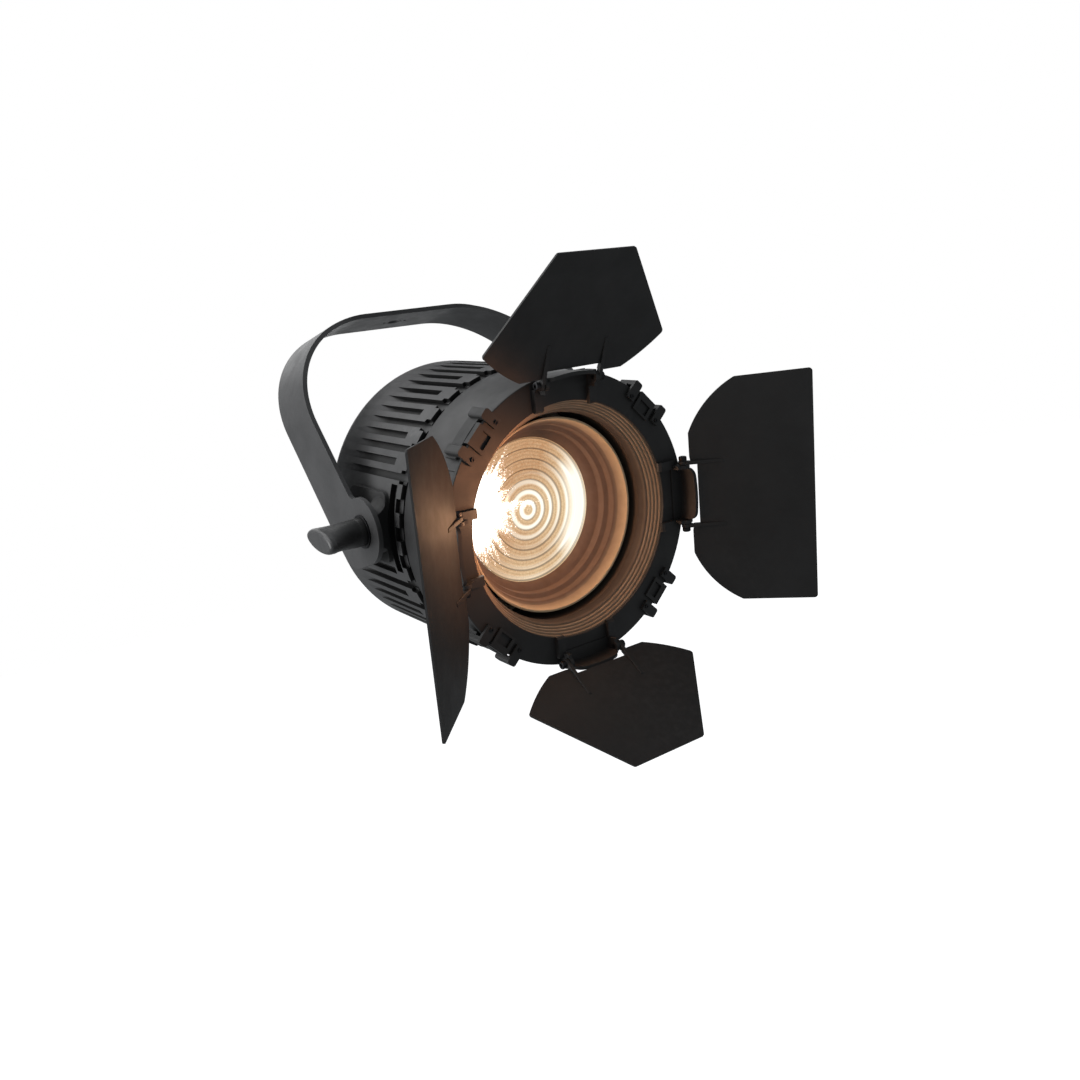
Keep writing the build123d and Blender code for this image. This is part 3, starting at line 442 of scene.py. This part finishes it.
def build_lens():
    """Lens with a domed centre and rounded concentric ridges, flat behind."""
    low, high = head_box("fresnel_lens")
    radius, back = high.x, low.z
    rim = high.z - LENS_RIM_DROP
    root = rim - LENS_RIDGE_DEPTH
    ridged = RIDGED_SHARE * radius
    centre = LENS_CENTRE_SHARE * ridged
    outline = [(0.0, back), (radius, back), (radius, rim), (ridged, rim)]
    pitch = (ridged - centre) / LENS_RIDGES
    for ridge in range(LENS_RIDGES, 0, -1):
        for k in range(LENS_RIDGE_POINTS):
            share = k / LENS_RIDGE_POINTS
            swell = math.sin(math.pi / 2 * share) ** LENS_RIDGE_ROUNDING
            outline.append((centre + (ridge - share) * pitch, root + LENS_RIDGE_DEPTH * swell))
    for k in range(LENS_DOME_POINTS):
        share = 1 - k / LENS_DOME_POINTS
        dome = (LENS_RIDGE_DEPTH + LENS_DOME_RISE) * (1 - share ** 2)
        outline.append((centre * share, root + dome))
    outline.append((0.0, high.z))
    make_piece("lens", revolved("lens", outline), lens_material(ridged), "lens_carriage",
               "lens_glass", "fresnel_lens", place=HEAD)


# Radii and lengths along the beam, in mm.
BEZEL_BAND = (64.8, 66.3)       # smooth band round the lens tube's mouth
BEZEL_LIP = (0.5, 0.8)          # slope at the band's inner edge: outwards and forwards
BEZEL_RIDGES = 5
BEZEL_RIDGE_START = 4.3         # first ridge, in front of the bezel's back
BEZEL_RIDGE_END = 73.5          # radius where the last ridge meets the face
BEZEL_RIDGE_SWELL = 0.45
BEZEL_RIDGE_POINTS = 8
BEZEL_FLANGE = 1.5              # thickness
BEZEL_WALL = 85.4               # outer radius behind the flange
BEZEL_BACK = 70.5               # outer radius of the back face
BEZEL_BACK_SLOPE = 4.0          # from the back face forwards to the wall
BEZEL_SHARP_ANGLE = math.radians(40)


def build_bezel():
    """Front bezel: flange and back as in CAD, rounded ridges from the smooth band to the face."""
    low, high = head_box("front_bezel")
    outer, back, front = (v / MM for v in (high.x, low.z, high.z))
    band_in, band_out = BEZEL_BAND
    lip_out, lip_forward = BEZEL_LIP
    ridge_back = back + BEZEL_RIDGE_START
    outline = [(outer, front), (outer, front - BEZEL_FLANGE),
               (BEZEL_WALL, front - BEZEL_FLANGE), (BEZEL_WALL, back + BEZEL_BACK_SLOPE),
               (BEZEL_BACK, back), (band_in, back), (band_in + lip_out, back + lip_forward)]
    wide = (BEZEL_RIDGE_END - band_out) / BEZEL_RIDGES
    deep = (front - ridge_back) / BEZEL_RIDGES
    for ridge in range(BEZEL_RIDGES):
        for k in range(BEZEL_RIDGE_POINTS):
            share = k / BEZEL_RIDGE_POINTS
            swell = BEZEL_RIDGE_SWELL * math.sin(math.pi * share)
            outline.append((band_out + (ridge + share) * wide - swell,
                            ridge_back + (ridge + share) * deep + swell))
    outline.append((BEZEL_RIDGE_END, front))
    mesh = revolved("bezel", [(r * MM, z * MM) for r, z in outline])
    mesh.transform(HEAD)        # its material reads the frame's own coordinates
    make_piece("bezel", mesh, MATERIALS["bezel_metal"], "head", "black_metal", "front_bezel",
               place=Matrix())
    mesh.set_sharp_from_angle(angle=BEZEL_SHARP_ANGLE)


# ---------------------------------------------------------------- CAD nodes, bevel widths in mm
BEVEL_LARGE, BEVEL_SMALL = 0.4, 0.15
LARGE_NODE = 30                 # mm; a node with a longer side gets the wider bevel
BEVEL_OF = {"yoke": 0.12}       # where the usual one would reach outside the CAD
BEVEL_ANGLE = math.radians(32)
WELD_DISTANCE = 2e-6            # metres
MADE_HERE = ("fresnel_lens", "front_bezel")


def dress_node(name, obj, slot):
    """Fine bevels and even shading on a CAD node, without changing its mesh."""
    obj.data.materials.clear()
    obj.data.materials.append(MATERIALS[FINISH.get(name, slot)])
    weld = obj.modifiers.new("weld", "WELD")
    weld.merge_threshold = WELD_DISTANCE
    usual = BEVEL_LARGE if max(obj.dimensions) > LARGE_NODE * MM else BEVEL_SMALL
    bevel = obj.modifiers.new("bevel", "BEVEL")
    bevel.width = BEVEL_OF.get(name, usual) * MM
    bevel.segments = 2
    bevel.limit_method = "ANGLE"
    bevel.angle_limit = BEVEL_ANGLE
    bevel.harden_normals = False
    normals = obj.modifiers.new("normals", "WEIGHTED_NORMAL")
    normals.keep_sharp = False
    shade_smooth(obj.data)


slot_of = {row["node"]: row["material_slot"] for row in frame["record"]["subparts"]}
for node_name, node_object in nodes.items():
    if node_name not in MADE_HERE:
        dress_node(node_name, node_object, slot_of[node_name])
build_lens()
build_bezel()

# ---------------------------------------------------------------- stage, light and camera
FLOOR_HALF, FLOOR_Z = 12.0, -1.0
ROOM_COLOUR, ROOM_STRENGTH = (0.93, 0.97, 1.0, 1), 0.29

# Name: offset from the head's centre, width and height, watts.
SOFT_BOXES = {
    "top_soft": ((-0.5, 0.35, 1.4), (1.8, 1.2), 13),
    "left_soft": ((-1.6, 0.3, 0.4), (1.0, 1.6), 26),
    "rear_soft": ((0.6, 1.5, 0.5), (1.6, 1.2), 8),
}

CAMERA_OFFSET = (-0.36257, -0.59889, 0.01274)   # from the head's centre
CAMERA_FORWARD = (0.54701, 0.83463, -0.06456)
CAMERA_RIGHT = (0.80653, -0.54611, -0.22646)
CAMERA_LENS, CAMERA_SENSOR = 34.43, 36.0
CAMERA_CLIP = (0.02, 50)


def build_stage():
    """Plain pale floor far below the hanging lamp; it is seen but throws no light up at it."""
    corners = [(FLOOR_HALF * x, FLOOR_HALF * y, FLOOR_Z)
               for x, y in ((-1, -1), (1, -1), (1, 1), (-1, 1))]
    mesh = bpy.data.meshes.new("floor")
    mesh.from_pydata(corners, [], [(0, 1, 2, 3)])
    floor = bpy.data.objects.new("floor", mesh)
    bpy.context.scene.collection.objects.link(floor)
    floor.visible_diffuse = False
    floor.visible_glossy = False
    s = Shader("floor_pale")
    tone = s.spread(s.noise(3, 2), 0.84, 0.88)
    mesh.materials.append(s.set(Base_Color=tone, Roughness=0.9, Emission_Color=tone,
                                Emission_Strength=1.0))


def build_world():
    """White backdrop for the camera; the same room lights the lamp only dimly."""
    world = bpy.data.worlds.new("studio")
    bpy.context.scene.world = world
    world.use_nodes = True
    tree = world.node_tree
    room = tree.nodes["Background"]
    room.inputs["Color"].default_value = ROOM_COLOUR
    room.inputs["Strength"].default_value = ROOM_STRENGTH
    seen = tree.nodes.new("ShaderNodeBackground")
    seen.inputs["Color"].default_value = (1, 1, 1, 1)
    seen.inputs["Strength"].default_value = 1.0
    path = tree.nodes.new("ShaderNodeLightPath")
    mix = tree.nodes.new("ShaderNodeMixShader")
    tree.links.new(path.outputs["Is Camera Ray"], mix.inputs["Fac"])
    tree.links.new(room.outputs[0], mix.inputs[1])
    tree.links.new(seen.outputs[0], mix.inputs[2])
    tree.links.new(mix.outputs[0], tree.nodes["World Output"].inputs["Surface"])


def aim(direction):
    """Turn of a light that shines along a direction."""
    return Vector(direction).to_track_quat("-Z", "Y").to_matrix().to_4x4()


def place_light(name, data, matrix):
    light = bpy.data.objects.new(name, data)
    bpy.context.scene.collection.objects.link(light)
    light.matrix_world = matrix
    light.visible_camera = False
    return light


def soft_box(name, offset, size, power):
    """Rectangular studio light, aimed at the head's centre."""
    data = bpy.data.lights.new(name, "AREA")
    data.shape = "RECTANGLE"
    data.size, data.size_y = size
    data.energy = power
    offset = Vector(offset)
    place_light(name, data, Matrix.Translation(CENTRE + offset) @ aim(-offset))


def lamp_glow(name, kind, body, place, direction, **settings):
    """Small warm light on a body; its place, in mm, and direction are in the head's own frame."""
    data = bpy.data.lights.new(name, kind)
    for key, value in settings.items():
        setattr(data, key, value)
    matrix = HEAD @ Matrix.Translation(Vector(place) * MM) @ aim(direction)
    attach(place_light(name, data, matrix), body)


def build_lights():
    for name, (offset, size, power) in SOFT_BOXES.items():
        soft_box(name, offset, size, power)
    # Light thrown from the hot side of the lens across the cone and the bezel.
    lamp_glow("beam", "AREA", "lens_carriage", (-20, 8, 50), (0.45, -0.3, 0.84), shape="DISK",
              size=0.05, energy=0.078, color=(1.0, 0.5, 0.27))
    # Light scattered from the hot spot onto the near side of the ring and its leaf.
    lamp_glow("spill", "SPOT", "head", (-6, 14, 150), (-56, 8, -58), spot_size=math.radians(110),
              spot_blend=1.0, shadow_soft_size=0.012, energy=0.46, color=(1.0, 0.42, 0.2))
    # Flare round the ring's near edge.
    lamp_glow("rim_glow", "POINT", "head", (-58, 14, 101), (0, 0, 1), shadow_soft_size=0.006,
              energy=0.024, color=(1.0, 0.55, 0.3))


def build_camera():
    data = bpy.data.cameras.new("camera")
    data.sensor_width = CAMERA_SENSOR
    data.lens = CAMERA_LENS
    data.clip_start, data.clip_end = CAMERA_CLIP
    camera = bpy.data.objects.new("camera", data)
    bpy.context.scene.collection.objects.link(camera)
    forward = Vector(CAMERA_FORWARD).normalized()
    up = Vector(CAMERA_RIGHT).cross(forward).normalized()
    right = forward.cross(up)
    turn = Matrix((right, up, -forward)).transposed().to_4x4()
    camera.matrix_world = Matrix.Translation(CENTRE + Vector(CAMERA_OFFSET)) @ turn
    bpy.context.scene.camera = camera


build_stage()
build_world()
build_lights()
build_camera()
bpy.context.scene.view_settings.view_transform = "Standard"
